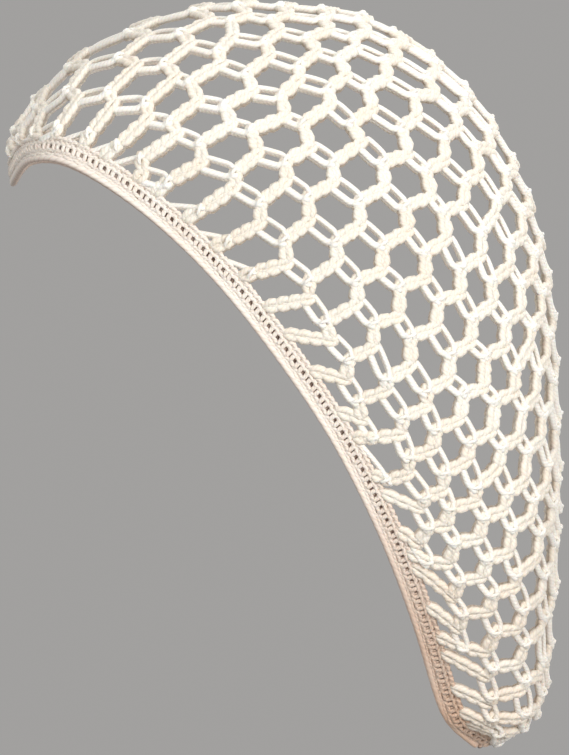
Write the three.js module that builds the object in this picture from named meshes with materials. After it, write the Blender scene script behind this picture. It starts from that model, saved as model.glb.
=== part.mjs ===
// A crochet hair snood: a hollow net bag that holds the hair, a stitched band sewn round its
// face opening, and a corded edge on the band. Millimetres, +Z up, the face looks along -Y, and
// the origin is the point inside the crown that sits on the top of the head.
import * as THREE from 'three';

// Overall size of the bag as it is worn.
const SNOOD_LENGTH = 202; // forehead to the back of the bag
const SNOOD_HEIGHT = 272; // top of the crown to the nape edge
const SNOOD_WIDTH = 164; // across the widest row, above the ears
const CROWN_SETBACK = 0.441; // share of the length from the forehead back to the origin

// The net, cut through in large gaps between bars.
const NET_WALL = 3;
const ROW_PITCH = 25; // between rows of bars, measured along the seam
const GAP_PITCH = 28; // between bars along a row
const BAR_WIDTH = 5;
const SEAM_MARGIN = 4; // solid edge of the net where the band is sewn on

// The band and the corded edge that runs outside it.
const BAND_WIDTH = 5.6;
const BAND_THICKNESS = 3;
const EDGE_CORD_DIAMETER = 2.8;
const SEWING_GAP = 0.4; // between the net, the band and the cord

// Fineness of the facets.
const SEAM_STEPS = 4; // facets of the seam in each row
const CORD_SIDES = 8;
const STRAIGHT_BAR = 11.5; // a shorter stretch of bar has no corner in its middle
const END_REACH = 2.5; // sections over which the seam turns to face as the ridge's end does

// The form of the bag, in rows that cross the head from one ear to the other. A row runs over
// the ridge, the middle line of the bag, from its seam point on the left to the one on the right.
// y is a share of SNOOD_LENGTH from the forehead and z a share of SNOOD_HEIGHT down from the
// crown. x is a share of half the width, turn the angle in degrees that a row bends through
// from ridge to seam, and bow how far the row swings down and back, as a share of the length.
const SECTIONS = [
  { seamY: 0.002, seamZ: 0.219, seamX: 0.0, ridgeY: 0.002, ridgeZ: 0.219, turn: 76, bow: 0.0 },
  { seamY: 0.031, seamZ: 0.19, seamX: 0.49, ridgeY: 0.018, ridgeZ: 0.167, turn: 76, bow: 0.0 },
  { seamY: 0.103, seamZ: 0.186, seamX: 0.74, ridgeY: 0.144, ridgeZ: 0.065, turn: 88, bow: 0.005 },
  { seamY: 0.193, seamZ: 0.218, seamX: 0.865, ridgeY: 0.36, ridgeZ: 0.005, turn: 98, bow: 0.01 },
  { seamY: 0.306, seamZ: 0.282, seamX: 0.925, ridgeY: 0.541, ridgeZ: 0.007, turn: 105, bow: 0.015 },
  { seamY: 0.42, seamZ: 0.367, seamX: 0.945, ridgeY: 0.685, ridgeZ: 0.032, turn: 108, bow: 0.02 },
  { seamY: 0.532, seamZ: 0.474, seamX: 0.92, ridgeY: 0.832, ridgeZ: 0.116, turn: 111, bow: 0.025 },
  { seamY: 0.625, seamZ: 0.579, seamX: 0.86, ridgeY: 0.928, ridgeZ: 0.226, turn: 114, bow: 0.035 },
  { seamY: 0.699, seamZ: 0.688, seamX: 0.76, ridgeY: 0.98, ridgeZ: 0.356, turn: 118, bow: 0.05 },
  { seamY: 0.744, seamZ: 0.77, seamX: 0.64, ridgeY: 0.996, ridgeZ: 0.497, turn: 121, bow: 0.06 },
  { seamY: 0.78, seamZ: 0.85, seamX: 0.48, ridgeY: 1.0, ridgeZ: 0.65, turn: 125, bow: 0.06 },
  { seamY: 0.81, seamZ: 0.926, seamX: 0.29, ridgeY: 0.991, ridgeZ: 0.81, turn: 128, bow: 0.04 },
  { seamY: 0.838, seamZ: 0.972, seamX: 0.16, ridgeY: 0.965, ridgeZ: 0.949, turn: 128, bow: 0.02 },
  { seamY: 0.888, seamZ: 0.995, seamX: 0.0, ridgeY: 0.888, ridgeZ: 0.995, turn: 128, bow: 0.0 },
];
const LAST_SECTION = SECTIONS.length - 1;

const YARN = { color: 0xf3e8d4, roughness: 0.85, metalness: 0 };

// A column of the table at a place between its rows, as a smooth curve. Past the forehead and
// the nape the table is mirrored, and the x column changes its sign there.
function sectionValue(column, place) {
  const step = Math.min(Math.floor(place), LAST_SECTION - 1);
  const share = place - step;
  const valueAt = (index) => {
    if (index < 0) return (column === 'seamX' ? -1 : 1) * SECTIONS[-index][column];
    if (index > LAST_SECTION) {
      return (column === 'seamX' ? -1 : 1) * SECTIONS[2 * LAST_SECTION - index][column];
    }
    return SECTIONS[index][column];
  };
  const [before, from, to, after] = [-1, 0, 1, 2].map((offset) => valueAt(step + offset));
  const slope = (to - before) / 2;
  const curve = before - 2.5 * from + 2 * to - 0.5 * after;
  const twist = 1.5 * (from - to) + 0.5 * (after - before);
  return from + share * (slope + share * (curve + share * twist));
}

// The outer face of the bag. place goes from the forehead, 0, to the nape, LAST_SECTION, and
// across from -1 at the right seam over the ridge, 0, to 1 at the left seam.
function bagPoint(place, across) {
  const turn = THREE.MathUtils.degToRad(sectionValue('turn', place));
  const angle = turn * Math.abs(across);
  const down = (1 - Math.cos(angle)) / (1 - Math.cos(turn));
  const ridge = new THREE.Vector2(sectionValue('ridgeY', place), sectionValue('ridgeZ', place));
  const seam = new THREE.Vector2(sectionValue('seamY', place), sectionValue('seamZ', place));
  const swing = 4 * down * (1 - down) * sectionValue('bow', place) * SNOOD_LENGTH;
  const halfWidth = (sectionValue('seamX', place) * SNOOD_WIDTH) / 2;
  return new THREE.Vector3(
    Math.sign(across) * halfWidth * (Math.sin(angle) / Math.sin(turn)),
    (THREE.MathUtils.lerp(ridge.x, seam.x, down) - CROWN_SETBACK) * SNOOD_LENGTH + swing * Math.SQRT1_2,
    NET_WALL - THREE.MathUtils.lerp(ridge.y, seam.y, down) * SNOOD_HEIGHT - swing * Math.SQRT1_2,
  );
}

// The way out of the bag's face. Its slopes are read a little inside the two ends, where the
// rows shrink to nothing.
function bagNormal(place, across) {
  const reach = 0.05;
  const middle = THREE.MathUtils.clamp(place, 4 * reach, LAST_SECTION - 4 * reach);
  const along = bagPoint(middle + reach, across).sub(bagPoint(middle - reach, across));
  const inner = THREE.MathUtils.clamp(across, -1 + reach, 1 - reach);
  const sideways = bagPoint(middle, inner + reach).sub(bagPoint(middle, inner - reach));
  return along.cross(sideways).normalize().negate();
}

// The seam is at both ends of every row, and at the forehead and the nape, where a row is a point.
function isOnSeam({ place, across }) {
  return Math.abs(across) === 1 || place === 0 || place === LAST_SECTION;
}

// Directions at a seam corner: along the seam, which runs down the left side and back up the
// right, out of the bag's face, and away from the net towards the face opening.
function seamFrame({ place, across }) {
  const reach = 0.05;
  const side = Math.abs(across) === 1 ? across : place === 0 ? 1 : -1;
  const along = new THREE.Vector3(side, 0, 0);
  if (Math.abs(across) === 1) {
    along.subVectors(bagPoint(place + reach, across), bagPoint(place - reach, across));
    along.multiplyScalar(side).normalize();
  }
  const end = place < LAST_SECTION / 2 ? 0 : LAST_SECTION;
  const nearEnd = 1 - THREE.MathUtils.smoothstep(Math.abs(place - end), 0, END_REACH);
  const normal = bagNormal(place, across).lerp(bagNormal(end, 0), nearEnd);
  normal.addScaledVector(along, -normal.dot(along)).normalize();
  return { along, normal, outward: along.clone().cross(normal).normalize() };
}

// Places of the rows of bars: equal steps along the seam from the forehead to the nape.
function rowPlaces() {
  const samples = 400;
  const lengths = [0];
  for (let i = 1; i <= samples; i += 1) {
    const [from, to] = [i - 1, i].map((n) => bagPoint((n / samples) * LAST_SECTION, 1));
    lengths.push(lengths[i - 1] + from.distanceTo(to));
  }
  const total = lengths[samples];
  const rows = Math.round(total / ROW_PITCH);
  const places = [0];
  for (let row = 1; row < rows; row += 1) {
    const wanted = (total * row) / rows;
    const sample = lengths.findIndex((length) => length >= wanted);
    const share = (wanted - lengths[sample - 1]) / (lengths[sample] - lengths[sample - 1]);
    places.push(((sample - 1 + share) / samples) * LAST_SECTION);
  }
  return [...places, LAST_SECTION];
}

const PLACES = rowPlaces();
const LAST_ROW = PLACES.length - 1;

function halfRowLength(place) {
  const steps = 12;
  let length = 0;
  for (let i = 0; i < steps; i += 1) {
    length += bagPoint(place, i / steps).distanceTo(bagPoint(place, (i + 1) / steps));
  }
  return length;
}

// Bars that cross the strip between row and row + 1, as places across it. Every other strip
// starts half a gap on, as bricks do.
function barPlaces(strip) {
  const half = halfRowLength((PLACES[strip] + PLACES[strip + 1]) / 2);
  const count = Math.max(1, Math.round(half / GAP_PITCH));
  const start = strip % 2 === 0 ? 0 : 0.5;
  const places = [];
  for (let bar = 1 - count; bar < count + 1; bar += 1) {
    const across = (bar - start) / count;
    if (Math.abs(across) < 1 - 0.3 / count) places.push(across);
  }
  return places;
}

// Corners of the net on each row: the ends of the bars on both sides of it. Two ends that
// nearly meet share one corner.
function netCorners() {
  const barsOf = [];
  for (let strip = 0; strip < LAST_ROW; strip += 1) barsOf.push(barPlaces(strip));
  const rows = PLACES.map((place, row) => {
    if (row === 0 || row === LAST_ROW) return [{ place, across: 0 }];
    const near = (0.3 * GAP_PITCH) / halfRowLength(place);
    const ends = [...barsOf[row - 1], ...barsOf[row]].sort((a, b) => a - b);
    const corners = [];
    for (const across of ends) {
      const last = corners[corners.length - 1];
      if (last && across - last.across < near) last.across = (last.across + across) / 2;
      else corners.push({ place, across });
    }
    return [{ place, across: -1 }, ...corners, { place, across: 1 }];
  });
  return { barsOf, rows };
}

// Seam points strictly between two rows, in the order of their places.
function seamBetween(strip, side) {
  const points = [];
  for (let step = 1; step < SEAM_STEPS; step += 1) {
    const place = THREE.MathUtils.lerp(PLACES[strip], PLACES[strip + 1], step / SEAM_STEPS);
    points.push({ place, across: side });
  }
  return points;
}

// The outlines of all gaps, each a closed loop of corners that it shares with its neighbours.
function netCells() {
  const { barsOf, rows } = netCorners();
  const nearest = (row, across) => {
    const distances = rows[row].map((corner) => Math.abs(corner.across - across));
    return distances.indexOf(Math.min(...distances));
  };
  const cells = [];
  for (let strip = 0; strip < LAST_ROW; strip += 1) {
    const bounds = [-1, ...barsOf[strip], 1];
    for (let cell = 0; cell + 1 < bounds.length; cell += 1) {
      const [from, to] = [bounds[cell], bounds[cell + 1]];
      const front = rows[strip].slice(nearest(strip, from), nearest(strip, to) + 1);
      const back = rows[strip + 1].slice(nearest(strip + 1, from), nearest(strip + 1, to) + 1);
      const left = to === 1 ? seamBetween(strip, 1) : [];
      const right = from === -1 ? seamBetween(strip, -1) : [];
      cells.push([...front, ...left, ...back.reverse(), ...right.reverse()]);
    }
  }
  return cells;
}

// How far each corner of a gap's outline moves towards its middle, as a share, to leave half a
// bar on every side, or the whole margin along the seam. Null where no gap is left.
function gapShares(points, middle, onSeam) {
  const shares = points.map((point, i) => {
    const before = points[(i + points.length - 1) % points.length];
    const after = points[(i + 1) % points.length];
    const angle = before.clone().sub(point).angleTo(after.clone().sub(point));
    const bar = onSeam[i] ? SEAM_MARGIN : BAR_WIDTH / 2;
    return bar / Math.max(Math.sin(angle / 2), 0.35) / point.distanceTo(middle);
  });
  return Math.max(...shares) < 0.72 ? shares : null;
}

// Collects triangles between corners, each held once on the outer and once on the inner face.
class Wall {
  constructor(thickness) {
    this.thickness = thickness;
    this.positions = [];
    this.triangles = [];
    this.known = new Map();
  }

  corner(corner) {
    if (!this.known.has(corner)) {
      const outer = bagPoint(corner.place, corner.across);
      const normal = isOnSeam(corner)
        ? seamFrame(corner).normal
        : bagNormal(corner.place, corner.across);
      const inner = outer.clone().addScaledVector(normal, -this.thickness);
      this.known.set(corner, this.positions.length / 3);
      this.positions.push(...outer.toArray(), ...inner.toArray());
    }
    return this.known.get(corner);
  }

  // Both faces of a triangle, wound so that the outer one looks out.
  face(a, b, c) {
    const [i, j, k] = [a, b, c].map((corner) => this.corner(corner));
    this.triangles.push(i, j, k, i + 1, k + 1, j + 1);
  }

  // The wall's own thickness along an edge that has nothing beyond it.
  edge(a, b) {
    const [i, j] = [a, b].map((corner) => this.corner(corner));
    this.triangles.push(i, i + 1, j, j, i + 1, j + 1);
  }

  geometry() {
    const geometry = new THREE.BufferGeometry();
    geometry.setAttribute('position', new THREE.Float32BufferAttribute(this.positions, 3));
    geometry.setIndex(this.triangles);
    return geometry;
  }
}

// An outline with a further corner at the middle of each edge that is long enough to bend and
// isn't on the seam. The two gaps on either side of an edge share it.
function refined(outline, middles) {
  return outline.flatMap((corner, i) => {
    const next = outline[(i + 1) % outline.length];
    const [from, to] = [corner, next].map(({ place, across }) => bagPoint(place, across));
    const isShort = from.distanceTo(to) < STRAIGHT_BAR;
    if (isShort || (isOnSeam(corner) && isOnSeam(next))) return [corner];
    if (!middles.has(corner)) middles.set(corner, new Map());
    const known = middles.get(next)?.get(corner) ?? {
      place: (corner.place + next.place) / 2,
      across: (corner.across + next.across) / 2,
    };
    middles.get(corner).set(next, known);
    return [corner, known];
  });
}

function middleOf(corners) {
  const places = corners.map((corner) => corner.place);
  const acrosses = corners.map((corner) => corner.across);
  return {
    place: (Math.min(...places) + Math.max(...places)) / 2,
    across: (Math.min(...acrosses) + Math.max(...acrosses)) / 2,
  };
}

function netGeometry() {
  const wall = new Wall(NET_WALL);
  const middles = new Map();
  for (const cell of netCells()) {
    const outline = refined(cell, middles);
    const middle = middleOf(outline);
    const points = outline.map((corner) => bagPoint(corner.place, corner.across));
    const onSeam = outline.map(isOnSeam);
    const shares = gapShares(points, bagPoint(middle.place, middle.across), onSeam);
    const gap = shares && outline.map((corner, i) => ({
      place: THREE.MathUtils.lerp(corner.place, middle.place, shares[i]),
      across: THREE.MathUtils.lerp(corner.across, middle.across, shares[i]),
    }));
    outline.forEach((corner, i) => {
      const next = (i + 1) % outline.length;
      if (gap) {
        wall.face(corner, outline[next], gap[next]);
        wall.face(corner, gap[next], gap[i]);
        wall.edge(gap[next], gap[i]);
      } else {
        wall.face(corner, outline[next], middle);
      }
      if (onSeam[i] && onSeam[next]) wall.edge(corner, outline[next]);
    });
  }
  return wall.geometry();
}

// The seam as a closed loop: down the left side and back up the right.
function seamLoop() {
  const corners = [{ place: 0, across: 0 }];
  for (let strip = 0; strip < LAST_ROW; strip += 1) {
    corners.push(...seamBetween(strip, 1));
    if (strip + 1 < LAST_ROW) corners.push({ place: PLACES[strip + 1], across: 1 });
  }
  const left = corners.slice(1);
  corners.push({ place: LAST_SECTION, across: 0 });
  for (const { place } of left.reverse()) corners.push({ place, across: -1 });
  return corners;
}

// A closed ring with the section swept along the seam. Each section point is a distance away
// from the net and a height above the middle of the net's wall.
function ringGeometry(section) {
  const loop = seamLoop();
  const positions = [];
  for (const corner of loop) {
    const { normal, outward } = seamFrame(corner);
    for (const [away, above] of section) {
      const placed = bagPoint(corner.place, corner.across);
      placed.addScaledVector(outward, away).addScaledVector(normal, above - NET_WALL / 2);
      positions.push(...placed.toArray());
    }
  }
  const sides = section.length;
  const cornerAt = (i, side) => (i % loop.length) * sides + (side % sides);
  const triangles = [];
  for (let i = 0; i < loop.length; i += 1) {
    for (let side = 0; side < sides; side += 1) {
      const [a, b] = [cornerAt(i, side), cornerAt(i, side + 1)];
      const [c, d] = [cornerAt(i + 1, side), cornerAt(i + 1, side + 1)];
      triangles.push(a, b, c, b, d, c);
    }
  }
  const geometry = new THREE.BufferGeometry();
  geometry.setAttribute('position', new THREE.Float32BufferAttribute(positions, 3));
  geometry.setIndex(triangles);
  return geometry;
}

function bandSection() {
  const round = BAND_THICKNESS / 4;
  const [near, far] = [SEWING_GAP, SEWING_GAP + BAND_WIDTH];
  const high = BAND_THICKNESS / 2;
  return [
    [near, -high + round],
    [near, high - round],
    [near + round, high],
    [far - round, high],
    [far, high - round],
    [far, -high + round],
    [far - round, -high],
    [near + round, -high],
  ];
}

function cordSection() {
  const radius = EDGE_CORD_DIAMETER / 2;
  const centre = SEWING_GAP + BAND_WIDTH + SEWING_GAP + radius;
  return Array.from({ length: CORD_SIDES }, (_, side) => {
    const angle = Math.PI + Math.PI / CORD_SIDES - (2 * Math.PI * side) / CORD_SIDES;
    return [centre + radius * Math.cos(angle), radius * Math.sin(angle)];
  });
}

function namedMesh(name, geometry) {
  const mesh = new THREE.Mesh(geometry, new THREE.MeshStandardMaterial(YARN));
  mesh.name = name;
  return mesh;
}

const snood = new THREE.Group();
snood.add(namedMesh('net_bag', netGeometry()));
snood.add(namedMesh('stitched_band', ringGeometry(bandSection())));
snood.add(namedMesh('edge_cord', ringGeometry(cordSection())));

export default snood;
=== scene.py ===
# %% [markdown]
# # Crochet hair snood
# The plain solids of the model hold the place and the size. This notebook puts the real
# crochet on them, stitch by stitch: chain rows that zigzag over the head, pairs of drawn
# strands that tie each row to the next, the tight rows of the band, and its corded edge.
# Lengths are in millimetres until a mesh is made, and the frame is the model's own.

# %% Tools and the frame
import math

import bmesh
import bpy
import numpy as np
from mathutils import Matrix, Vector


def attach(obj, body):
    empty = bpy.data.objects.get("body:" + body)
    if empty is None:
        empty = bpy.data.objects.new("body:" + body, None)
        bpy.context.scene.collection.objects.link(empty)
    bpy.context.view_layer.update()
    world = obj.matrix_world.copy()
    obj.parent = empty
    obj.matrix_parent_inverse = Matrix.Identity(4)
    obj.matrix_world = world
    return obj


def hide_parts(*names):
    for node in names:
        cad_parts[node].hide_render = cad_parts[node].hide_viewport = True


MM = 0.001

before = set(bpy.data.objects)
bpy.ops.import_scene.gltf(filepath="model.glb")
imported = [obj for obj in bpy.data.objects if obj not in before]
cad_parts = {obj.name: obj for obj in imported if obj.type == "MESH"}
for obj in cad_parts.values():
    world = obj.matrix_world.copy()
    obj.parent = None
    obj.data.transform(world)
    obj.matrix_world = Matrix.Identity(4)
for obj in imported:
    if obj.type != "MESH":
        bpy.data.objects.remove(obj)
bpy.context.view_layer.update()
random = np.random.default_rng(11)

# %% [markdown]
# ## The form of the bag
# A soft net has no form of its own: it takes the form of what fills it. The bag could be
# sculpted, or simulated over a head, but then nothing would say where a stitch lies. Here it
# is described as the model's source describes it: rows that cross the head from one ear to
# the other, over the ridge in the middle. A place counts those rows from the forehead, 0, to
# the nape, 13. Across goes from -1 at the right seam to 1 at the left one. Every stitch can
# then be planned flat, by place and across, and laid on the curved bag afterwards.

# %% Sizes and the section table
SNOOD_LENGTH = 202
SNOOD_HEIGHT = 272
SNOOD_WIDTH = 164
CROWN_SETBACK = 0.441
NET_WALL = 3
ROW_SAMPLES = 41

# The columns are seam_y, seam_z, seam_x, ridge_y, ridge_z, turn and bow. The turn is in
# degrees, and the others are shares of the length, the height and half the width.
SECTIONS = np.array([
    (0.002, 0.219, 0.000, 0.002, 0.219, 76, 0.000),
    (0.031, 0.190, 0.490, 0.018, 0.167, 76, 0.000),
    (0.103, 0.186, 0.740, 0.144, 0.065, 88, 0.005),
    (0.193, 0.218, 0.865, 0.360, 0.005, 98, 0.010),
    (0.306, 0.282, 0.925, 0.541, 0.007, 105, 0.015),
    (0.420, 0.367, 0.945, 0.685, 0.032, 108, 0.020),
    (0.532, 0.474, 0.920, 0.832, 0.116, 111, 0.025),
    (0.625, 0.579, 0.860, 0.928, 0.226, 114, 0.035),
    (0.699, 0.688, 0.760, 0.980, 0.356, 118, 0.050),
    (0.744, 0.770, 0.640, 0.996, 0.497, 121, 0.060),
    (0.780, 0.850, 0.480, 1.000, 0.650, 125, 0.060),
    (0.810, 0.926, 0.290, 0.991, 0.810, 128, 0.040),
    (0.838, 0.972, 0.160, 0.965, 0.949, 128, 0.020),
    (0.888, 0.995, 0.000, 0.888, 0.995, 128, 0.000),
])
LAST_SECTION = len(SECTIONS) - 1

# Past either end of the table, the curve is led on by the next row with its width turned over.
MIRRORED = np.array([1, 1, -1, 1, 1, 1, 1])
print("the bag has", len(SECTIONS), "sections from the forehead to the nape")


# %% A smooth curve through the rows of a table
def smooth_between(before, start, end, after, share):
    """The value at a share of the way from start to end, on a curve through all four rows."""
    slope = (end - before) / 2
    curve = before - 2.5 * start + 2 * end - 0.5 * after
    twist = 1.5 * (start - end) + 0.5 * (after - before)
    return start + share * (slope + share * (curve + share * twist))


# %% Points on the bag
def section_values(place):
    """The table's columns at places between its rows, on smooth curves."""
    rows = np.vstack([SECTIONS[1] * MIRRORED, SECTIONS, SECTIONS[-2] * MIRRORED])
    place = np.asarray(place, float)
    step = np.clip(np.floor(place).astype(int), 0, LAST_SECTION - 1)
    share = (place - step)[..., None]
    values = smooth_between(*(rows[step + k] for k in range(4)), share)
    return np.moveaxis(values, -1, 0)


def outer_point(place, across):
    """A point on the outer face of the bag."""
    seam_y, seam_z, seam_x, ridge_y, ridge_z, turn, bow = section_values(place)
    turn = np.radians(turn)
    angle = turn * np.abs(across)
    down = (1 - np.cos(angle)) / (1 - np.cos(turn))
    swing = 4 * down * (1 - down) * bow * SNOOD_LENGTH * math.sqrt(0.5)
    half_width = seam_x * SNOOD_WIDTH / 2
    x = np.sign(across) * half_width * np.sin(angle) / np.sin(turn)
    y = (ridge_y + (seam_y - ridge_y) * down - CROWN_SETBACK) * SNOOD_LENGTH + swing
    z = NET_WALL - (ridge_z + (seam_z - ridge_z) * down) * SNOOD_HEIGHT - swing
    return np.stack([x, y, z], -1)


def half_row_length(place):
    """The length of a row from the ridge to the left seam."""
    steps = np.linspace(0, 1, ROW_SAMPLES)
    points = outer_point(np.full(ROW_SAMPLES, place), steps)
    return np.linalg.norm(np.diff(points, axis=0), axis=1).sum()


longest_row = 2 * max(half_row_length(place) for place in range(1, LAST_SECTION))
print("the longest row is", round(longest_row), "mm from seam to seam")


# %% Directions on the bag
READING_STEP = 0.05


def unit(vectors):
    length = np.linalg.norm(vectors, axis=-1, keepdims=True)
    return vectors / np.maximum(length, 1e-9)


def out_of_face(place, across):
    """The way out of the bag, read a little inside the two ends."""
    step = READING_STEP
    middle = np.clip(place, 4 * step, LAST_SECTION - 4 * step)
    inner = np.clip(across, -1 + step, 1 - step)
    along = outer_point(middle + step, across) - outer_point(middle - step, across)
    sideways = outer_point(middle, inner + step) - outer_point(middle, inner - step)
    return -unit(np.cross(along, sideways))


def middle_point(place, across):
    """A point in the middle of the net's thickness, and the way out of the bag there."""
    normal = out_of_face(place, across)
    return outer_point(place, across) - normal * NET_WALL / 2, normal


print("the way out of the crown is", out_of_face(3.5, 0.01).round(2))

# %% [markdown]
# ## Yarn
# Every stitch is a bent length of yarn. Curves with a round bevel would do for a few of them,
# but there are thousands, so one function sweeps round sections along many paths at once and
# joins them into one mesh. Each length closes to a point that hides inside a knot. The map
# coordinate runs along the yarn in millimetres and once round it, for the twist of its plies,
# and a tone for each length tells neighbours apart. Each point also keeps its height over the
# middle of the net, where painted shade darkens the yarn between and behind the strands.


# %% Directions carried along paths
def carried_directions(tangents, closed):
    """Two directions across each path that turn with it and don't spin."""
    helper = np.zeros_like(tangents[:, 0])
    helper[np.arange(len(helper)), np.abs(tangents[:, 0]).argmin(axis=1)] = 1
    across = [unit(np.cross(tangents[:, 0], helper))]
    for step in range(1, tangents.shape[1]):
        tangent = tangents[:, step]
        last = across[-1]
        across.append(unit(last - (last * tangent).sum(-1, keepdims=True) * tangent))
    across = np.stack(across, 1)
    if closed:
        start = tangents[:, 0]
        final = across[:, -1] - (across[:, -1] * start).sum(-1, keepdims=True) * start
        final = unit(final)
        first = across[:, 0]
        spin = np.arctan2((np.cross(final, first) * start).sum(-1), (final * first).sum(-1))
        share = np.arange(tangents.shape[1]) / tangents.shape[1]
        angle = (spin[:, None] * share)[..., None]
        across = across * np.cos(angle) + np.cross(tangents, across) * np.sin(angle)
    return across, np.cross(tangents, across)


# %% Sweeping yarn along paths
POINTED_END = 0.12


def yarn(course, radius, sides=6, closed=False):
    """Corner points, faces, map coordinates, tones and heights of yarn swept along a course."""
    paths, normals, lifts = course
    count, length, _ = paths.shape
    shape = np.ones(length)
    if closed:
        tangents = unit(np.roll(paths, -1, axis=1) - np.roll(paths, 1, axis=1))
    else:
        tangents = unit(np.gradient(paths, axis=1))
        shape[[0, -1]] = POINTED_END
    first, second = carried_directions(tangents, closed)
    radius = np.broadcast_to(np.asarray(radius, float), (count, length)) * shape
    turns = np.arange(sides) / sides * 2 * math.pi
    ring = first[:, :, None] * np.cos(turns)[:, None] + second[:, :, None] * np.sin(turns)[:, None]
    points = paths[:, :, None] + ring * radius[:, :, None, None]
    heights = lifts[..., None] + radius[..., None] * (ring * normals[:, :, None]).sum(-1)
    rings = length if closed else length - 1
    base = np.arange(count)[:, None, None] * length * sides
    step = np.arange(rings)[None, :, None]
    side = np.arange(sides)[None, None, :]
    next_step = (step + 1) % length
    next_side = (side + 1) % sides
    faces = np.stack([
        base + step * sides + side,
        base + step * sides + next_side,
        base + next_step * sides + next_side,
        base + next_step * sides + side,
    ], -1).reshape(-1, 4)
    gaps = np.linalg.norm(np.roll(paths, -1, axis=1) - paths, axis=-1)
    distance = np.concatenate([np.zeros((count, 1)), np.cumsum(gaps, axis=1)], 1)
    u0 = np.broadcast_to(distance[:, :rings, None], (count, rings, sides))
    u1 = np.broadcast_to(distance[:, 1:rings + 1, None], (count, rings, sides))
    v0 = np.broadcast_to(side / sides, (count, rings, sides))
    v1 = v0 + 1 / sides
    coordinates = np.stack([u0, v0, u0, v1, u1, v1, u1, v0], -1).reshape(-1, 2)
    tones = np.repeat(random.random(count), length * sides)
    return points.reshape(-1, 3), faces, coordinates, tones, heights.ravel()


# %% Joining yarn into one piece
def close_ends(mesh):
    """Fill the small open ring that is left at each pointed end."""
    shape = bmesh.new()
    shape.from_mesh(mesh)
    rims = [edge for edge in shape.edges if edge.is_boundary]
    bmesh.ops.holes_fill(shape, edges=rims, sides=16)
    shape.to_mesh(mesh)
    shape.free()


def yarn_piece(name, parts):
    """One mesh object from several sets of swept yarn."""
    starts = np.cumsum([0] + [len(part[0]) for part in parts])
    points = np.concatenate([part[0] for part in parts])
    faces = np.concatenate([part[1] + start for part, start in zip(parts, starts)])
    coordinates = np.concatenate([part[2] for part in parts])
    mesh = bpy.data.meshes.new(name)
    mesh.from_pydata(points * MM, [], faces)
    layer = mesh.uv_layers.new(name="yarn_map")
    layer.data.foreach_set("uv", coordinates.astype(np.float32).ravel())
    for label, column in (("tone", 3), ("height", 4)):
        values = np.concatenate([part[column] for part in parts])
        layer = mesh.attributes.new(label, "FLOAT", "POINT")
        layer.data.foreach_set("value", values.astype(np.float32))
    close_ends(mesh)
    mesh.shade_smooth()
    return shown(name, mesh)


def shown(name, mesh):
    """An object in the scene with this mesh."""
    piece = bpy.data.objects.new(name, mesh)
    bpy.context.scene.collection.objects.link(piece)
    mesh.calc_loop_triangles()
    print(name, "has", len(mesh.loop_triangles), "triangles")
    return piece


def mirrored_piece(name, piece):
    """The same piece on the right side."""
    mesh = bpy.data.meshes.new(name)
    shape = bmesh.new()
    shape.from_mesh(piece.data)
    bmesh.ops.scale(shape, verts=shape.verts, vec=(-1, 1, 1))
    bmesh.ops.reverse_faces(shape, faces=shape.faces)
    shape.to_mesh(mesh)
    shape.free()
    mesh.shade_smooth()
    return shown(name, mesh)


# %% [markdown]
# ## The plan of the net
# The net is worked to and fro from the front to the back. Each row is a chain that zigzags:
# it rises from a foot to a head, and falls to the next foot. From each head a pair of drawn
# strands runs to a foot of the row behind. Two rows and the strands between them leave a gap
# with six corners. The gaps lie in strips across the head, and in lines that run back from the
# forehead and sink into the band one after another, as the bag narrows to the nape.
#
# A regular grid of gaps could be mapped on the bag, but a worn net is stretched at the crown
# and crowded at the nape. So a short table says where each strip of gaps lies, which line
# meets the seam there, and which one meets the ridge.

# %% The table of strips
# The columns are the strip, its place, the line at the seam, the line at the ridge, and how
# far the lines between them crowd towards the ridge.
STRIPS = np.array([
    (-1, 0.40, 0.37, 1.5, 0.0),
    (0, 0.80, 0.38, 2.1, 0.0),
    (1, 1.20, 0.37, 2.65, 0.0),
    (2, 1.62, 0.35, 3.1, 0.0),
    (4, 2.76, 0.32, 5.2, 0.01),
    (6, 3.57, 0.24, 7.3, 0.02),
    (8, 4.52, 0.28, 8.7, 0.02),
    (10, 5.42, 0.46, 9.5, 0.0),
    (12, 6.24, 0.75, 10.0, -0.015),
    (14, 7.10, 1.10, 10.3, -0.065),
    (16, 7.88, 1.50, 10.3, -0.08),
    (18, 8.70, 2.00, 10.2, -0.085),
    (20, 9.65, 2.75, 9.9, -0.05),
    (22, 10.60, 3.40, 9.2, 0.03),
    (24, 11.60, 3.85, 7.6, 0.0),
    (26, 12.55, 4.15, 5.6, 0.0),
])
STRIP_COUNT = 26
LINE_COUNT = 12
FOOT_BACK = 0.615
HEAD_BACK = 0.28
SIDE_STEP = 0.385
NODE_WANDER = 0.85
RIDGE_PULL = 2.6
PITCH_STEP = 0.1
LEAST_PITCH = 10


def plan_place(strip, line):
    """Place and across of a point between strips and lines, on the left side."""
    place, seam_line, ridge_line, crowding = (
        np.interp(strip, STRIPS[:, 0], STRIPS[:, column]) for column in range(1, 5)
    )
    share = (line - seam_line) / (ridge_line - seam_line)
    share = share + crowding * math.sin(math.pi * min(max(share, 0), 1))
    return place, 1 - share


def wandered(place, across):
    """A corner moved a little, as by hand, and pulled on to the ridge when it is near."""
    half = half_row_length(place)
    wander = random.normal(0, NODE_WANDER, 2)
    nearby = outer_point(place - PITCH_STEP, across)
    pitch = np.linalg.norm(outer_point(place, across) - nearby) / PITCH_STEP
    across = across + wander[0] / half
    if abs(across) * half < RIDGE_PULL:
        across = 0.0
    return place + wander[1] / max(pitch, LEAST_PITCH), across


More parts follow.
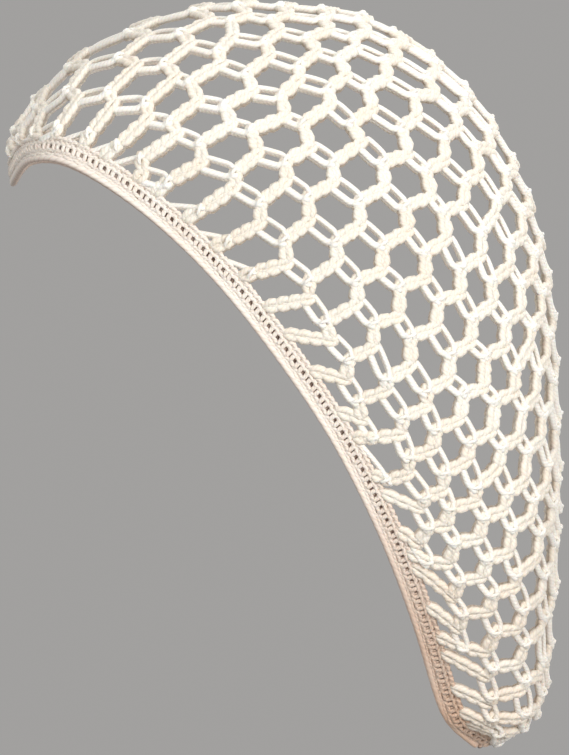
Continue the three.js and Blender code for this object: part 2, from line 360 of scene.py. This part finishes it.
# %% Heads and feet
feet, heads = {}, {}
for row in range(STRIP_COUNT + 1):
    for line in range(-1, LINE_COUNT + 1):
        feet[row, line] = wandered(*plan_place(row - FOOT_BACK, line - SIDE_STEP))
        heads[row, line] = wandered(*plan_place(row - HEAD_BACK, line + SIDE_STEP))
print(len(feet) + len(heads), "corners are planned, before the seam and the ridge cut them")

# %% [markdown]
# Where the net meets the band, the runs can't simply be cut off. The band pulls them forward,
# most of all near the nape, so a run that starts at the seam leans along it. A list of places
# and three lists of leans say how far, for chains that rise, chains that fall, and strands. A
# run that is nearly all cut away is left out, because its stub would only thicken the band.

# %% Runs of chain and of strands
END_OVERLAP = 0.8
SHORTEST_RUN = 0.12
AT_SEAM = 0.98
LEAN_PLACES = (0.0, 1.5, 4.8, 6.0, 8.0, 9.0, 10.5)
RISING_LEAN = (0.0, 0.0, 0.0, 0.3, 0.34, 0.5, 0.5)
FALLING_LEAN = (0.0, 0.24, 0.24, 0.28, 0.32, 0.45, 0.45)
STRAND_LEAN = (0.0, 0.0, 0.0, 0.25, 0.28, 0.4, 0.35)
LEAST_LEAN = 0.35


def on_left_half(start, end, leans):
    """A run cut just past the seam and the ridge, or None where it is outside.

    A start at the seam leans forward along the band, by as much as is left of the run.
    """
    reach = END_OVERLAP / half_row_length((start[0] + end[0]) / 2)
    if start[1] == 0 and end[1] == 0:
        return start, end
    low, high = sorted((start[1], end[1]))
    if high < reach or low > AT_SEAM:
        return None
    shares = [0.0, 1.0]
    if high - low > 1e-6:
        span = end[1] - start[1]
        limits = sorted(((-reach - start[1]) / span, (1 + reach - start[1]) / span))
        shares = [max(0.0, limits[0]), min(1.0, limits[1])]
    if shares[1] - shares[0] < SHORTEST_RUN:
        return None
    start, end = np.array(start), np.array(end)
    first, last = (start + (end - start) * share for share in shares)
    if first[1] > AT_SEAM:
        left = LEAST_LEAN + (1 - LEAST_LEAN) * (shares[1] - shares[0])
        first[0] -= np.interp(first[0], LEAN_PLACES, leans) * left
        first[1] = 1 + 2 * reach
    return tuple(first), tuple(last)


chain_runs, strand_runs = [], []
for row in range(STRIP_COUNT + 1):
    for line in range(-1, LINE_COUNT):
        chain_runs.append(on_left_half(feet[row, line], heads[row, line], RISING_LEAN))
        chain_runs.append(on_left_half(heads[row, line], feet[row, line + 1], FALLING_LEAN))
        if row < STRIP_COUNT:
            ends = heads[row, line], feet[row + 1, line + 1]
            strand_runs.append(on_left_half(*ends, STRAND_LEAN))
print("the left half has", sum(run is not None for run in chain_runs), "runs of chain")

# %% Runs that tie the first and last rows to the band
FIRST_TIE = 0.15
LAST_TIE = 0.03
TIE_LIMIT = 0.3
for line in range(LINE_COUNT):
    place, across = feet[0, line]
    if TIE_LIMIT < across < 1:
        strand_runs.append(((place - FIRST_TIE, 1.0), (place, across)))
    elif across == 0:
        strand_runs.append(((LAST_TIE, 0.0), (place, across)))
    place, across = heads[STRIP_COUNT, line]
    if 0 <= across < 1:
        strand_runs.append(((place, across), (LAST_SECTION - LAST_TIE, across / 2)))


def run_ends(runs, on_ridge):
    """Starts and ends of the runs that lie on the ridge, or of those that don't."""
    kept = [run for run in runs if run and (run[0][1] == 0 and run[1][1] == 0) == on_ridge]
    return np.array([run[0] for run in kept]), np.array([run[1] for run in kept])


print("and", len(run_ends(strand_runs, False)[0]), "pairs of strands beside the ridge")


# %% Laying a plan on the bag
AHEAD = 0.02
RUN_SAMPLES = 7


def beside_runs(starts, ends, along, side, out):
    """A course beside straight runs of the plan: along is a share of the run, the rest in mm."""
    here = starts[:, None] + (ends - starts)[:, None] * along[..., None]
    ahead = here + (ends - starts)[:, None] * AHEAD
    point, normal = middle_point(here[..., 0], here[..., 1])
    tangent = outer_point(ahead[..., 0], ahead[..., 1]) - outer_point(here[..., 0], here[..., 1])
    beside = unit(np.cross(normal, unit(tangent)))
    return point + beside * side[..., None] + normal * out[..., None], normal, out


def run_lengths(starts, ends):
    """The length of each run along the bag."""
    steps = np.broadcast_to(np.linspace(0, 1, RUN_SAMPLES), (len(starts), RUN_SAMPLES))
    flat = np.zeros_like(steps)
    points = beside_runs(starts, ends, steps, flat, flat)[0]
    return np.linalg.norm(np.diff(points, axis=1), axis=-1).sum(axis=1)


print("a run of chain is", run_lengths(*run_ends(chain_runs, False)).mean().round(1), "mm long")

# %% [markdown]
# ## Chains
# Each stitch of a chain is a loop that opens out of the one before, runs round the one after
# it and returns behind, so the front shows two plump legs with a small eye between them, and
# the back shows a single bump. The loop's path is a table of twelve points, repeated for each
# stitch and smoothed. It is real yarn seen from any side, where a bump map would only be a
# print of stitches on a tube.

# %% The chain stitch
YARN_RADIUS = 1.42
STITCH_LENGTH = 4.4
STITCH_SAMPLES = 12
CHAIN_HALF_WIDTH = 1.5
CHAIN_DEPTH = 0.8
SLIM_AT_NODES = 0.22
LOOSE_CHAIN = 0.07
UNEVEN_CHAIN = 0.05

# The columns are the share along the stitch, the side, and the way out.
LOOP = np.array([
    (0.00, -0.20, -0.15),
    (0.32, -0.48, 0.30),
    (0.72, -1.08, 0.55),
    (1.12, -0.85, 0.30),
    (1.38, -0.35, -0.45),
    (1.38, 0.35, -0.45),
    (1.12, 0.85, 0.30),
    (0.72, 1.08, 0.55),
    (0.32, 0.48, 0.30),
    (0.02, 0.25, -0.30),
    (0.25, 0.10, -0.60),
    (0.65, 0.00, -0.35),
])


def smooth_path(rows, count):
    """Evenly counted samples of a smooth curve through the rows of a table."""
    ends = np.vstack([2 * rows[0] - rows[1], rows, 2 * rows[-1] - rows[-2]])
    place = np.linspace(0, len(rows) - 1 - 1e-6, count)
    step = place.astype(int)
    share = (place - step)[:, None]
    return smooth_between(*(ends[step + k] for k in range(4)), share)


def chain_path(stitches):
    """The loop's table repeated for a run of stitches."""
    rows = [LOOP + (stitch, 0, 0) for stitch in range(stitches)]
    rows.append(LOOP[:1] + (stitches, 0, 0))
    return smooth_path(np.concatenate(rows), stitches * STITCH_SAMPLES + 1)


# %% Chains along the runs
def chains(starts, ends):
    """Yarn for chains along all the runs, grouped by how many stitches each one takes."""
    counts = np.maximum(1, np.round(run_lengths(starts, ends) / STITCH_LENGTH)).astype(int)
    parts = []
    for count in np.unique(counts):
        group = counts == count
        shape = chain_path(count)
        size = (group.sum(), len(shape))
        loose = random.normal(1, LOOSE_CHAIN, (size[0], 1))
        along = np.broadcast_to(shape[:, 0] / count, size)
        slim = 1 - SLIM_AT_NODES * np.clip(2 * np.abs(shape[:, 0] / count - 0.5), 0, 1) ** 2
        side = shape[:, 1] * CHAIN_HALF_WIDTH * slim * loose
        side = side + random.normal(0, UNEVEN_CHAIN, size)
        out = shape[:, 2] * CHAIN_DEPTH * loose
        course = beside_runs(starts[group], ends[group], along, side, out)
        parts.append(yarn(course, YARN_RADIUS * np.sqrt(slim)))
    return parts


left_chains = yarn_piece("net_chains_left", chains(*run_ends(chain_runs, False)))
mirrored_piece("net_chains_right", left_chains)

# %% [markdown]
# ## Pairs of strands
# Rows are tied together by long drawn loops: two smooth strands with an open slit between
# them, one of them thicker. They come out from under the head, are gathered by a small wrap
# before the foot, and close over the chain round a small eye. A loop that starts at the band
# is pulled so tight that only one strand shows. They could be tubes bent by hand, but one
# short table of widths draws them all.

# %% The drawn loop
SLIT_HALF = 2.3
FULL_LENGTH = 9.5
LEAST_FULL, MOST_FULL = 0.78, 1.1
THIN_STRAND = 0.95
THICK_STRAND = 1.3
SEAM_STRAND_WIDTH = 0.35
STRAND_SAMPLES = 15
LOOSE_STRAND = 0.1
UNEVEN_STRAND = 0.12

# The columns are the share along the loop, its width, and the way out.
DRAWN = np.array([
    (-0.06, 0.90, -0.6),
    (0.10, 1.00, -0.1),
    (0.32, 1.03, 0.15),
    (0.58, 1.03, 0.25),
    (0.78, 0.98, 0.40),
    (0.93, 0.62, 1.00),
    (1.04, 0.56, 1.25),
    (1.13, 0.20, 0.00),
])


def drawn_loops(starts, ends):
    """Both strands of each loop, but only the thin one where the loop starts at the seam."""
    shape = smooth_path(DRAWN, STRAND_SAMPLES)
    size = (len(starts), STRAND_SAMPLES)
    along = np.broadcast_to(shape[:, 0], size)
    fullness = np.clip(run_lengths(starts, ends) / FULL_LENGTH, LEAST_FULL, MOST_FULL)[:, None]
    from_seam = starts[:, 1] > AT_SEAM
    fullness[from_seam] *= SEAM_STRAND_WIDTH
    every_loop = np.ones(len(starts), bool)
    strands = ((1, THIN_STRAND, every_loop), (-1, THICK_STRAND, ~from_seam))
    parts = []
    for where, radius, kept in strands:
        loose = fullness * random.normal(1, LOOSE_STRAND, (size[0], 1))
        side = where * SLIT_HALF * shape[:, 1] * loose
        out = shape[:, 2] + random.normal(0, UNEVEN_STRAND, (size[0], 1))
        course = beside_runs(starts[kept], ends[kept], along[kept], side[kept], out[kept])
        if kept.any():
            parts.append(yarn(course, radius))
    return parts


# %% Wraps round the strands
WRAP_PLACE = 0.96
WRAP_RADIUS = 0.72
WRAP_HALF_WIDTH = 1.9
WRAP_LIFT = 1.0
WRAP_HALF_DEPTH = 1.2
WRAP_SLANT = 0.5
WRAP_SAMPLES = 10


def wraps(starts, ends):
    """A ring of yarn round each pair of strands, where they are gathered."""
    turns = np.linspace(0, 2 * math.pi, WRAP_SAMPLES, endpoint=False)
    size = (len(starts), WRAP_SAMPLES)
    side = np.broadcast_to(WRAP_HALF_WIDTH * np.cos(turns), size)
    out = np.broadcast_to(WRAP_LIFT + WRAP_HALF_DEPTH * np.sin(turns), size)
    along = WRAP_PLACE + WRAP_SLANT * np.cos(turns) / run_lengths(starts, ends)[:, None]
    return [yarn(beside_runs(starts, ends, along, side, out), WRAP_RADIUS, closed=True)]


beside_ridge = run_ends(strand_runs, False)
left_strands = yarn_piece("net_strands_left", drawn_loops(*beside_ridge) + wraps(*beside_ridge))
mirrored_piece("net_strands_right", left_strands)

# %% Stitches on the ridge itself
ridge_parts = []
for runs, make in ((chain_runs, (chains,)), (strand_runs, (drawn_loops, wraps))):
    ridge_starts, ridge_ends = run_ends(runs, True)
    if len(ridge_starts):
        for stitch in make:
            ridge_parts += stitch(ridge_starts, ridge_ends)
yarn_piece("net_ridge", ridge_parts)

# %% [markdown]
# ## The band
# The band follows the seam as a closed ring. From the net outwards it has a row of plump
# heads, a row of tight upright stitches with small holes between them, a flat row whose
# stitches slant, and the rounded cord at the edge. Each row is planned straight, by the
# distance round the seam and away from the net, and bent round the opening afterwards.

# %% Points round the seam
SEAM_SAMPLES = 1600
SEAM_READING = 3
END_REACH = 2.5


def seam_table():
    """Evenly spaced points round the seam, with the ways along it, out of it and outwards."""
    half = np.linspace(0, LAST_SECTION, SEAM_SAMPLES // 2 + 1)
    place = np.concatenate([half, half[-2:0:-1]])
    side = np.concatenate([np.ones(len(half)), -np.ones(len(half) - 2)])
    point = outer_point(place, side)
    point[0, 0] = point[len(half) - 1, 0] = 0
    end = np.where(place < LAST_SECTION / 2, 0.0, float(LAST_SECTION))
    near = np.clip(np.abs(place - end) / END_REACH, 0, 1)
    near = 1 - near * near * (3 - 2 * near)
    normal = out_of_face(place, side)
    ridge = out_of_face(end, np.zeros(len(end)))
    normal = normal + (ridge - normal) * near[:, None]
    gaps = np.linalg.norm(np.roll(point, -1, axis=0) - point, axis=1)
    distance = np.concatenate([[0], np.cumsum(gaps)])
    even = np.linspace(0, distance[-1], SEAM_SAMPLES, endpoint=False)

    def spaced(values):
        looped = np.vstack([values, values[:1]])
        return np.stack([np.interp(even, distance, looped[:, k]) for k in range(3)], -1)

    point, normal = spaced(point), spaced(normal)
    ahead, behind = (np.roll(point, way * SEAM_READING, axis=0) for way in (-1, 1))
    along = unit(ahead - behind)
    normal = unit(normal - (normal * along).sum(-1, keepdims=True) * along)
    return distance[-1], point, normal, np.cross(along, normal)


SEAM_LENGTH, seam_points, seam_out, seam_away = seam_table()
print("the seam is", round(SEAM_LENGTH), "mm round")


def beside_seam(distance, away, out):
    """A course at a distance round the seam, away from the net, and out of its middle, in mm."""
    index = (distance / SEAM_LENGTH * SEAM_SAMPLES) % SEAM_SAMPLES
    low = np.floor(index).astype(int) % SEAM_SAMPLES
    share = (index - np.floor(index))[..., None]
    high = (low + 1) % SEAM_SAMPLES

    def between(values):
        return values[low] * (1 - share) + values[high] * share

    normal = unit(between(seam_out))
    point = between(seam_points) + unit(between(seam_away)) * away[..., None]
    return point + normal * (out[..., None] - NET_WALL / 2), normal, out


# %% Chain rows of the band
BAND_STITCH = 5.3
STITCHES_IN_A_RUN = 4
UNEVEN_BAND = 0.05


def fitted_pitch(pitch):
    """How many stitches of about this length go round the seam, and their exact length."""
    count = int(round(SEAM_LENGTH / pitch / STITCHES_IN_A_RUN)) * STITCHES_IN_A_RUN
    return count, SEAM_LENGTH / count


def band_chain(pitch, away, half_width, depth, slant, radius):
    """A chain row round the whole band, as one run of yarn for each few stitches."""
    count, pitch = fitted_pitch(pitch)
    shape = chain_path(STITCHES_IN_A_RUN)
    starts = np.arange(0, count, STITCHES_IN_A_RUN)[:, None] * pitch
    distance = starts + shape[:, 0] * pitch + slant * shape[:, 1]
    loose = random.normal(1, UNEVEN_BAND, distance.shape)
    side = away + shape[:, 1] * half_width * loose
    return yarn(beside_seam(distance, side, shape[:, 2] * depth * loose), radius)


# %% Upright stitches of the band
POST_RADIUS = 0.9
POST_PAIRING = 0.26
PAIRING_AT_ENDS = 0.25
POST_SLANT = 0.7
POST_BOW = 0.35
POST_SAMPLES = 8
UNEVEN_POST = 0.08
UNEVEN_POST_ENDS = 0.06


def band_posts(pitch, low, high, shift=0.0, depth=0.0):
    """Tight upright stitches in pairs, so that large and small holes take turns."""
    count, pitch = fitted_pitch(pitch)
    steps = np.linspace(0, 1, POST_SAMPLES)
    index = np.arange(count)[:, None]
    bow = np.sin(math.pi * steps)
    pairing = np.where(index % 2 == 0, 1, -1) * (PAIRING_AT_ENDS + (1 - PAIRING_AT_ENDS) * bow)
    distance = (index + shift) * pitch + POST_PAIRING * pairing + POST_SLANT * (steps - 0.5)
    distance = distance + random.normal(0, UNEVEN_POST, (count, 1))
    away = low + (high - low) * steps + random.normal(0, UNEVEN_POST_ENDS, (count, 1))
    out = POST_BOW * bow - depth + random.normal(0, UNEVEN_POST, (count, 1))
    return yarn(beside_seam(distance, away, out), POST_RADIUS, sides=7)


# %% The rows together
BACKING_DEPTH = 1.5
PLUMP_ROW = {"away": 1.5, "half_width": 1.15, "depth": 0.75, "slant": 0.5, "radius": 0.82}
FLAT_ROW = {"away": 6.0, "half_width": 0.85, "depth": 0.55, "slant": 0.9, "radius": 0.8}
band_parts = [
    band_chain(BAND_STITCH / 2, **PLUMP_ROW),
    band_posts(BAND_STITCH / 2, low=2.6, high=5.4),
    # The second row of posts sits deeper, behind the holes of the first, where painted shade turns
    # it dark brown, so that the holes read as shadow.
    band_posts(BAND_STITCH / 2, low=2.0, high=5.8, shift=0.5, depth=BACKING_DEPTH),
    band_chain(BAND_STITCH, **FLAT_ROW),
]
yarn_piece("band_stitches", band_parts)

# %% [markdown]
# The outermost row is so tight that its stitches close up into a smooth round cord. A plain
# tube would turn a hard corner at the nape, where the band is folded, so each point of the
# cord's path is the mean of its neighbours. Its radius swells a little with every stitch. The
# heights on it lean, so that painted shade darkens the side turned away from the net, as a thin
# shadow line along the edge.

# %% The corded edge
CORD_RADIUS = 1.3
CORD_SWELL = 0.04
CORD_AWAY = 7.85
CORD_SAMPLES = 560
CORD_SHADE_LEAN = 1.6
CORD_LIFT = 0.35
CORD_SMOOTHING = range(-6, 7)
cord_steps = np.linspace(0, SEAM_LENGTH, CORD_SAMPLES, endpoint=False)[None]
swell = CORD_RADIUS * (1 + CORD_SWELL * np.sin(cord_steps * 2 * math.pi / BAND_STITCH))
cord_flat = np.zeros_like(cord_steps)
cord_path, cord_out, _ = beside_seam(cord_steps, cord_flat + CORD_AWAY, cord_flat)
cord_path = sum(np.roll(cord_path, step, axis=1) for step in CORD_SMOOTHING) / len(CORD_SMOOTHING)
cord_away = unit(cord_path - beside_seam(cord_steps, cord_flat, cord_flat)[0])
# Painted shade: the heights lean away from the net and are lifted, so that only the outer side of
# the cord darkens, as a shadow line.
cord_course = cord_path, unit(cord_out - CORD_SHADE_LEAN * cord_away), cord_flat + CORD_LIFT
yarn_piece("edge_cord_yarn", [yarn(cord_course, swell, sides=12, closed=True)])

# %% [markdown]
# ## Cotton yarn
# The yarn is matt cotton. The drawn strands are nearly white, the chains a deeper cream, and
# the band and its cord peach. Painted shade darkens the grooves and the low yarn between and
# behind the strands, and a browner painted shade grows towards the bottom, at the nape. Paint
# on a map would have to fit thousands of stitches, so the colour is worked out: the twist of
# the plies from the yarn's own map coordinates, and patches, the painted shade at the bottom
# and fibres from the object's own space. Both effects are node groups that each material uses
# with its own values.


# %% Node helpers
FLOAT, COLOUR = "NodeSocketFloat", "NodeSocketColor"


def node_group(name, inputs, outputs):
    """An empty shader group with named sockets, and its two end nodes."""
    group = bpy.data.node_groups.new(name, "ShaderNodeTree")
    for label, kind, value in inputs:
        socket = group.interface.new_socket(label, in_out="INPUT", socket_type=kind)
        socket.default_value = value
    for label, kind in outputs:
        group.interface.new_socket(label, in_out="OUTPUT", socket_type=kind)
    return group, group.nodes.new("NodeGroupInput"), group.nodes.new("NodeGroupOutput")


def math_node(tree, operation, first, second=None, third=None):
    """A sum on sockets or plain numbers."""
    node = tree.nodes.new("ShaderNodeMath")
    node.operation = operation
    for socket, value in zip(node.inputs, (first, second, third)):
        if value is None:
            continue
        if isinstance(value, (int, float)):
            socket.default_value = value
        else:
            tree.links.new(value, socket)
    return node.outputs[0]


def blended(tree, share, first, second):
    """A mix of two colours: on this node sockets 0, 6 and 7 are the share and the colours."""
    node = tree.nodes.new("ShaderNodeMix")
    node.data_type = "RGBA"
    node.clamp_factor = True
    for socket, value in ((0, share), (6, first), (7, second)):
        tree.links.new(value, node.inputs[socket])
    return node.outputs[2]


# %% The twist of the plies
FIBRE_HEIGHT = 0.45


def ply_group():
    """Height of twisted plies with fine fibres along them, and the share of their grooves that
    gets painted shade.
    """
    group, given, result = node_group(
        "Yarn plies",
        [("Plies", FLOAT, 3.0), ("Twist Length", FLOAT, 5.0), ("Fibre Scale", FLOAT, 2500.0)],
        [("Height", FLOAT), ("Groove", FLOAT)],
    )
    new, link = group.nodes.new, group.links.new
    place = new("ShaderNodeUVMap")
    place.uv_map = "yarn_map"
    parts = new("ShaderNodeSeparateXYZ")
    link(place.outputs[0], parts.inputs[0])
    turns = math_node(group, "DIVIDE", parts.outputs[0], given.outputs["Twist Length"])
    turns = math_node(group, "ADD", turns, parts.outputs[1])
    turns = math_node(group, "MULTIPLY", turns, given.outputs["Plies"])
    wave = math_node(group, "SINE", math_node(group, "MULTIPLY", turns, math.pi))
    ridge = math_node(group, "ABSOLUTE", wave)
    spot = new("ShaderNodeTexCoord")
    fibres = new("ShaderNodeTexNoise")
    fibres.inputs["Detail"].default_value = 2
    link(spot.outputs["Object"], fibres.inputs["Vector"])
    link(given.outputs["Fibre Scale"], fibres.inputs["Scale"])
    height = math_node(group, "MULTIPLY_ADD", fibres.outputs["Fac"], FIBRE_HEIGHT, ridge)
    groove = math_node(group, "POWER", math_node(group, "SUBTRACT", 1, ridge), 2)
    link(height, result.inputs["Height"])
    link(groove, result.inputs["Groove"])
    return group


PLIES = ply_group()
print("the group", PLIES.name, "has", len(PLIES.nodes), "nodes")


# %% Uneven colour and painted shade
TONE_SPREAD = 0.4
PATCH_CONTRAST = 1.3
MOSTLY_LIGHT = -0.5
# Painted shade towards the bottom: its even share beside the patches, and the heights in m where
# it starts and where it is full.
EVEN_LOW_SHADE = 0.5
LOW_SHADE_STARTS = -0.15
LOW_SHADE_IS_FULL = -0.26
# Heights in mm where painted shade starts under the top of the yarn, and where it fades out again
# far behind it.
TOP_OF_YARN = 0.9
BEHIND_YARN = -1.5
BEHIND_FADES = -0.8


def share_between(group, value, start, end, easing="LINEAR"):
    """A share that goes from 0 where the value is at the start to 1 where it is at the end."""
    share = group.nodes.new("ShaderNodeMapRange")
    share.interpolation_type = easing
    share.inputs["From Min"].default_value = start
    share.inputs["From Max"].default_value = end
    group.links.new(value, share.inputs["Value"])
    return share.outputs[0]


def tint_group():
    """Colour that changes from strand to strand and in patches, with painted shade in the grooves,
    on low yarn and towards the bottom.
    """
    group, given, result = node_group(
        "Uneven cream and painted shade",
        [
            ("Light", COLOUR, (1, 1, 1, 1)),
            ("Warm", COLOUR, (1, 1, 1, 1)),
            ("Bottom Shade", COLOUR, (1, 1, 1, 1)),
            ("Shade Colour", COLOUR, (1, 1, 1, 1)),
            ("Groove", FLOAT, 0.0),
            ("Ply Groove Shade", FLOAT, 0.25),
            ("Hollow Shade Amount", FLOAT, 0.6),
            ("Patch Scale", FLOAT, 40.0),
            ("Low Shade Amount", FLOAT, 0.3),
        ],
        [("Colour", COLOUR)],
    )
    new, link = group.nodes.new, group.links.new
    spot = new("ShaderNodeTexCoord")
    patches = new("ShaderNodeTexNoise")
    patches.inputs["Detail"].default_value = 3
    link(spot.outputs["Object"], patches.inputs["Vector"])
    link(given.outputs["Patch Scale"], patches.inputs["Scale"])
    tone = new("ShaderNodeAttribute")
    tone.attribute_name = "tone"
    share = math_node(group, "MULTIPLY_ADD", tone.outputs["Fac"], TONE_SPREAD, MOSTLY_LIGHT)
    share = math_node(group, "MULTIPLY_ADD", patches.outputs["Fac"], PATCH_CONTRAST, share)
    colour = blended(group, share, given.outputs["Light"], given.outputs["Warm"])
    parts = new("ShaderNodeSeparateXYZ")
    link(spot.outputs["Object"], parts.inputs[0])
    # Painted shade: below a height in object space the colour turns browner and darker towards the
    # bottom, in patches.
    lowness = share_between(group, parts.outputs[2], LOW_SHADE_STARTS, LOW_SHADE_IS_FULL)
    low_shade = math_node(group, "MULTIPLY", lowness, given.outputs["Low Shade Amount"])
    patchy = math_node(group, "ADD", patches.outputs["Fac"], EVEN_LOW_SHADE)
    low_shade = math_node(group, "MULTIPLY", low_shade, patchy)
    # Painted shade: the grooves between the plies are darkened towards the shade colour.
    groove = math_node(group, "MULTIPLY", given.outputs["Groove"], given.outputs["Ply Groove Shade"])
    # Painted shade: yarn that lies low, under the top of its neighbours, is darkened towards the
    # shade colour, and the shade fades out again on the far backs, so that the inner face stays
    # light.
    height = new("ShaderNodeAttribute")
    height.attribute_name = "height"
    height = height.outputs["Fac"]
    inside = share_between(group, height, TOP_OF_YARN, -TOP_OF_YARN, "SMOOTHSTEP")
    behind = share_between(group, height, BEHIND_YARN, BEHIND_FADES)
    inside = math_node(group, "MULTIPLY", inside, behind)
    inside = math_node(group, "MULTIPLY", inside, given.outputs["Hollow Shade Amount"])
    colour = blended(group, low_shade, colour, given.outputs["Bottom Shade"])
    # The share of painted shade, from the ply grooves and from the low yarn together.
    depth = math_node(group, "ADD", groove, inside)
    colour = blended(group, depth, colour, given.outputs["Shade Colour"])
    link(colour, result.inputs["Colour"])
    return group


TINT = tint_group()
print("the group", TINT.name, "has", len(TINT.nodes), "nodes")


# %% Yarn materials
# The colour of the painted shade that grows towards the bottom of the snood.
BOTTOM_SHADE = (0.66, 0.42, 0.28)
ROUGHNESS = 0.82


# Each finish has a shade colour that is painted into the grooves and on low yarn. Depth sets how
# strongly it darkens the low yarn, and a second amount sets the painted shade towards the bottom.
def yarn_material(name, light, warm, shade_colour, twist=5.0, low_shade=0.1, depth=0.3, bump=0.4):
    material = bpy.data.materials.new(name)
    material.use_nodes = True
    tree = material.node_tree
    new, link = tree.nodes.new, tree.links.new
    shader = tree.nodes["Principled BSDF"]
    ply = new("ShaderNodeGroup")
    ply.node_tree = PLIES
    ply.inputs["Twist Length"].default_value = twist
    tint = new("ShaderNodeGroup")
    tint.node_tree = TINT
    for label, value in (("Light", light), ("Warm", warm), ("Bottom Shade", BOTTOM_SHADE), ("Shade Colour", shade_colour)):
        tint.inputs[label].default_value = (*value, 1)
    tint.inputs["Low Shade Amount"].default_value = low_shade
    tint.inputs["Hollow Shade Amount"].default_value = depth
    link(ply.outputs["Groove"], tint.inputs["Groove"])
    link(tint.outputs["Colour"], shader.inputs["Base Color"])
    shader.inputs["Roughness"].default_value = ROUGHNESS
    shader.inputs["Sheen Weight"].default_value = 0.25
    shader.inputs["Sheen Roughness"].default_value = 0.45
    shader.inputs["Specular IOR Level"].default_value = 0.3
    shader.inputs["Subsurface Weight"].default_value = 0.15
    shader.inputs["Subsurface Radius"].default_value = (0.9, 0.6, 0.4)
    shader.inputs["Subsurface Scale"].default_value = 0.001
    relief = new("ShaderNodeBump")
    relief.inputs["Strength"].default_value = bump
    relief.inputs["Distance"].default_value = 0.00025
    link(ply.outputs["Height"], relief.inputs["Height"])
    link(relief.outputs["Normal"], shader.inputs["Normal"])
    return material


# %% Four finishes of the yarn
chain_cotton = yarn_material(
    "chain_cotton",
    light=(0.94, 0.89, 0.79),
    warm=(0.90, 0.79, 0.66),
    shade_colour=(0.52, 0.39, 0.29),
    low_shade=0.14,
    depth=0.45,
)
strand_cotton = yarn_material(
    "strand_cotton",
    light=(0.97, 0.95, 0.89),
    warm=(0.95, 0.89, 0.79),
    shade_colour=(0.60, 0.48, 0.38),
    low_shade=0.14,
)
# The band's shade colour is a dark brown: painted shade on the deep backing row and in the
# grooves, and a strong painted shade towards the bottom.
band_cotton = yarn_material(
    "band_cotton",
    light=(0.96, 0.88, 0.79),
    warm=(0.91, 0.78, 0.67),
    shade_colour=(0.25, 0.15, 0.11),
    low_shade=0.75,
    depth=0.95,
)
# The cord's shade colour paints the shadow line on its outer side, and the painted shade towards
# the bottom.
cord_cotton = yarn_material(
    "cord_cotton",
    light=(0.96, 0.88, 0.79),
    warm=(0.91, 0.78, 0.68),
    shade_colour=(0.46, 0.31, 0.24),
    twist=9.0,
    low_shade=0.8,
    depth=0.65,
    bump=0.25,
)
print("four finishes of the same yarn are ready")

# %% Placing the pieces
PIECES = {
    "net_chains_left": ("net_bag", chain_cotton),
    "net_chains_right": ("net_bag", chain_cotton),
    "net_strands_left": ("net_bag", strand_cotton),
    "net_strands_right": ("net_bag", strand_cotton),
    "net_ridge": ("net_bag", chain_cotton),
    "band_stitches": ("stitched_band", band_cotton),
    "edge_cord_yarn": ("edge_cord", cord_cotton),
}
for name, (node, material) in PIECES.items():
    piece = bpy.data.objects[name]
    piece.data.materials.append(material)
    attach(piece, "root")
    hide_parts(node)
print(len(PIECES), "pieces ride on the one body")

# %% [markdown]
# ## Studio
# The net is nearly white and full of gaps, so it needs a pale ground that is still darker than
# the yarn. A wall behind it would hide the snood from a camera that looks from behind. So there
# is only a wide floor, and around it plain grey air of nearly the same shade. A key light from
# the upper left front models the stitches, and a small low one lifts the shade at the nape. The
# camera looks level at the left side from far away, so that the near and far edges of the band
# fall on one another, and so do the two halves of the net.

# %% Floor
FLOOR_Z = -0.33
FLOOR_RADIUS = 4.0


def round_floor():
    shape = bmesh.new()
    bmesh.ops.create_circle(shape, cap_ends=True, segments=96, radius=FLOOR_RADIUS)
    bmesh.ops.translate(shape, verts=shape.verts, vec=(0, 0, FLOOR_Z))
    mesh = bpy.data.meshes.new("studio_floor")
    shape.to_mesh(mesh)
    shape.free()
    return shown("studio_floor", mesh)


floor = round_floor()
paper = bpy.data.materials.new("studio_paper")
paper.use_nodes = True
paper_shader = paper.node_tree.nodes["Principled BSDF"]
paper_shader.inputs["Base Color"].default_value = (0.34, 0.335, 0.33, 1)
paper_shader.inputs["Roughness"].default_value = 0.9
floor.data.materials.append(paper)

# %% Lights
AIM = (0, 0.0125, -0.1347)


def area_light(name, place, size, power):
    light = bpy.data.lights.new(name, "AREA")
    light.energy = power
    light.size = size
    lamp = bpy.data.objects.new(name, light)
    lamp.location = place
    lamp.rotation_euler = (Vector(AIM) - Vector(place)).to_track_quat("-Z", "Y").to_euler()
    bpy.context.scene.collection.objects.link(lamp)
    print(name, "gives", power, "W")


area_light("key_light", (1.8, -0.6, 0.8), size=0.9, power=18)
area_light("fill_light", (1.5, 1.0, -0.05), size=0.55, power=18.5)
area_light("back_light", (-1.6, 1.0, 0.7), size=1.2, power=20)
area_light("top_light", (-0.3, 0.2, 1.8), size=1.0, power=13)

# %% Air
AIR_STRENGTH = 0.36
world = bpy.data.worlds.new("studio_air")
world.use_nodes = True
air = world.node_tree.nodes["Background"]
air.inputs["Color"].default_value = (1.0, 0.98, 0.96, 1)
air.inputs["Strength"].default_value = AIR_STRENGTH
bpy.context.scene.world = world
bpy.context.scene.view_settings.view_transform = "Standard"
print("the air glows with a strength of", AIR_STRENGTH)

# %% Camera
CAMERA_DISTANCE = 12.0
PIXEL = 0.3636
IMAGE_HEIGHT = 755
FRAME_HEIGHT = IMAGE_HEIGHT * PIXEL * MM
SENSOR = 24
camera_data = bpy.data.cameras.new("side_view")
camera_data.sensor_fit = "VERTICAL"
camera_data.sensor_height = SENSOR
camera_data.lens = SENSOR * CAMERA_DISTANCE / FRAME_HEIGHT
camera_data.clip_end = 50
camera = bpy.data.objects.new("side_view", camera_data)
camera.location = (CAMERA_DISTANCE, AIM[1], AIM[2])
camera.rotation_euler = (math.pi / 2, 0, math.pi / 2)
bpy.context.scene.collection.objects.link(camera)
bpy.context.scene.camera = camera
print("the lens is", round(camera_data.lens), "mm")
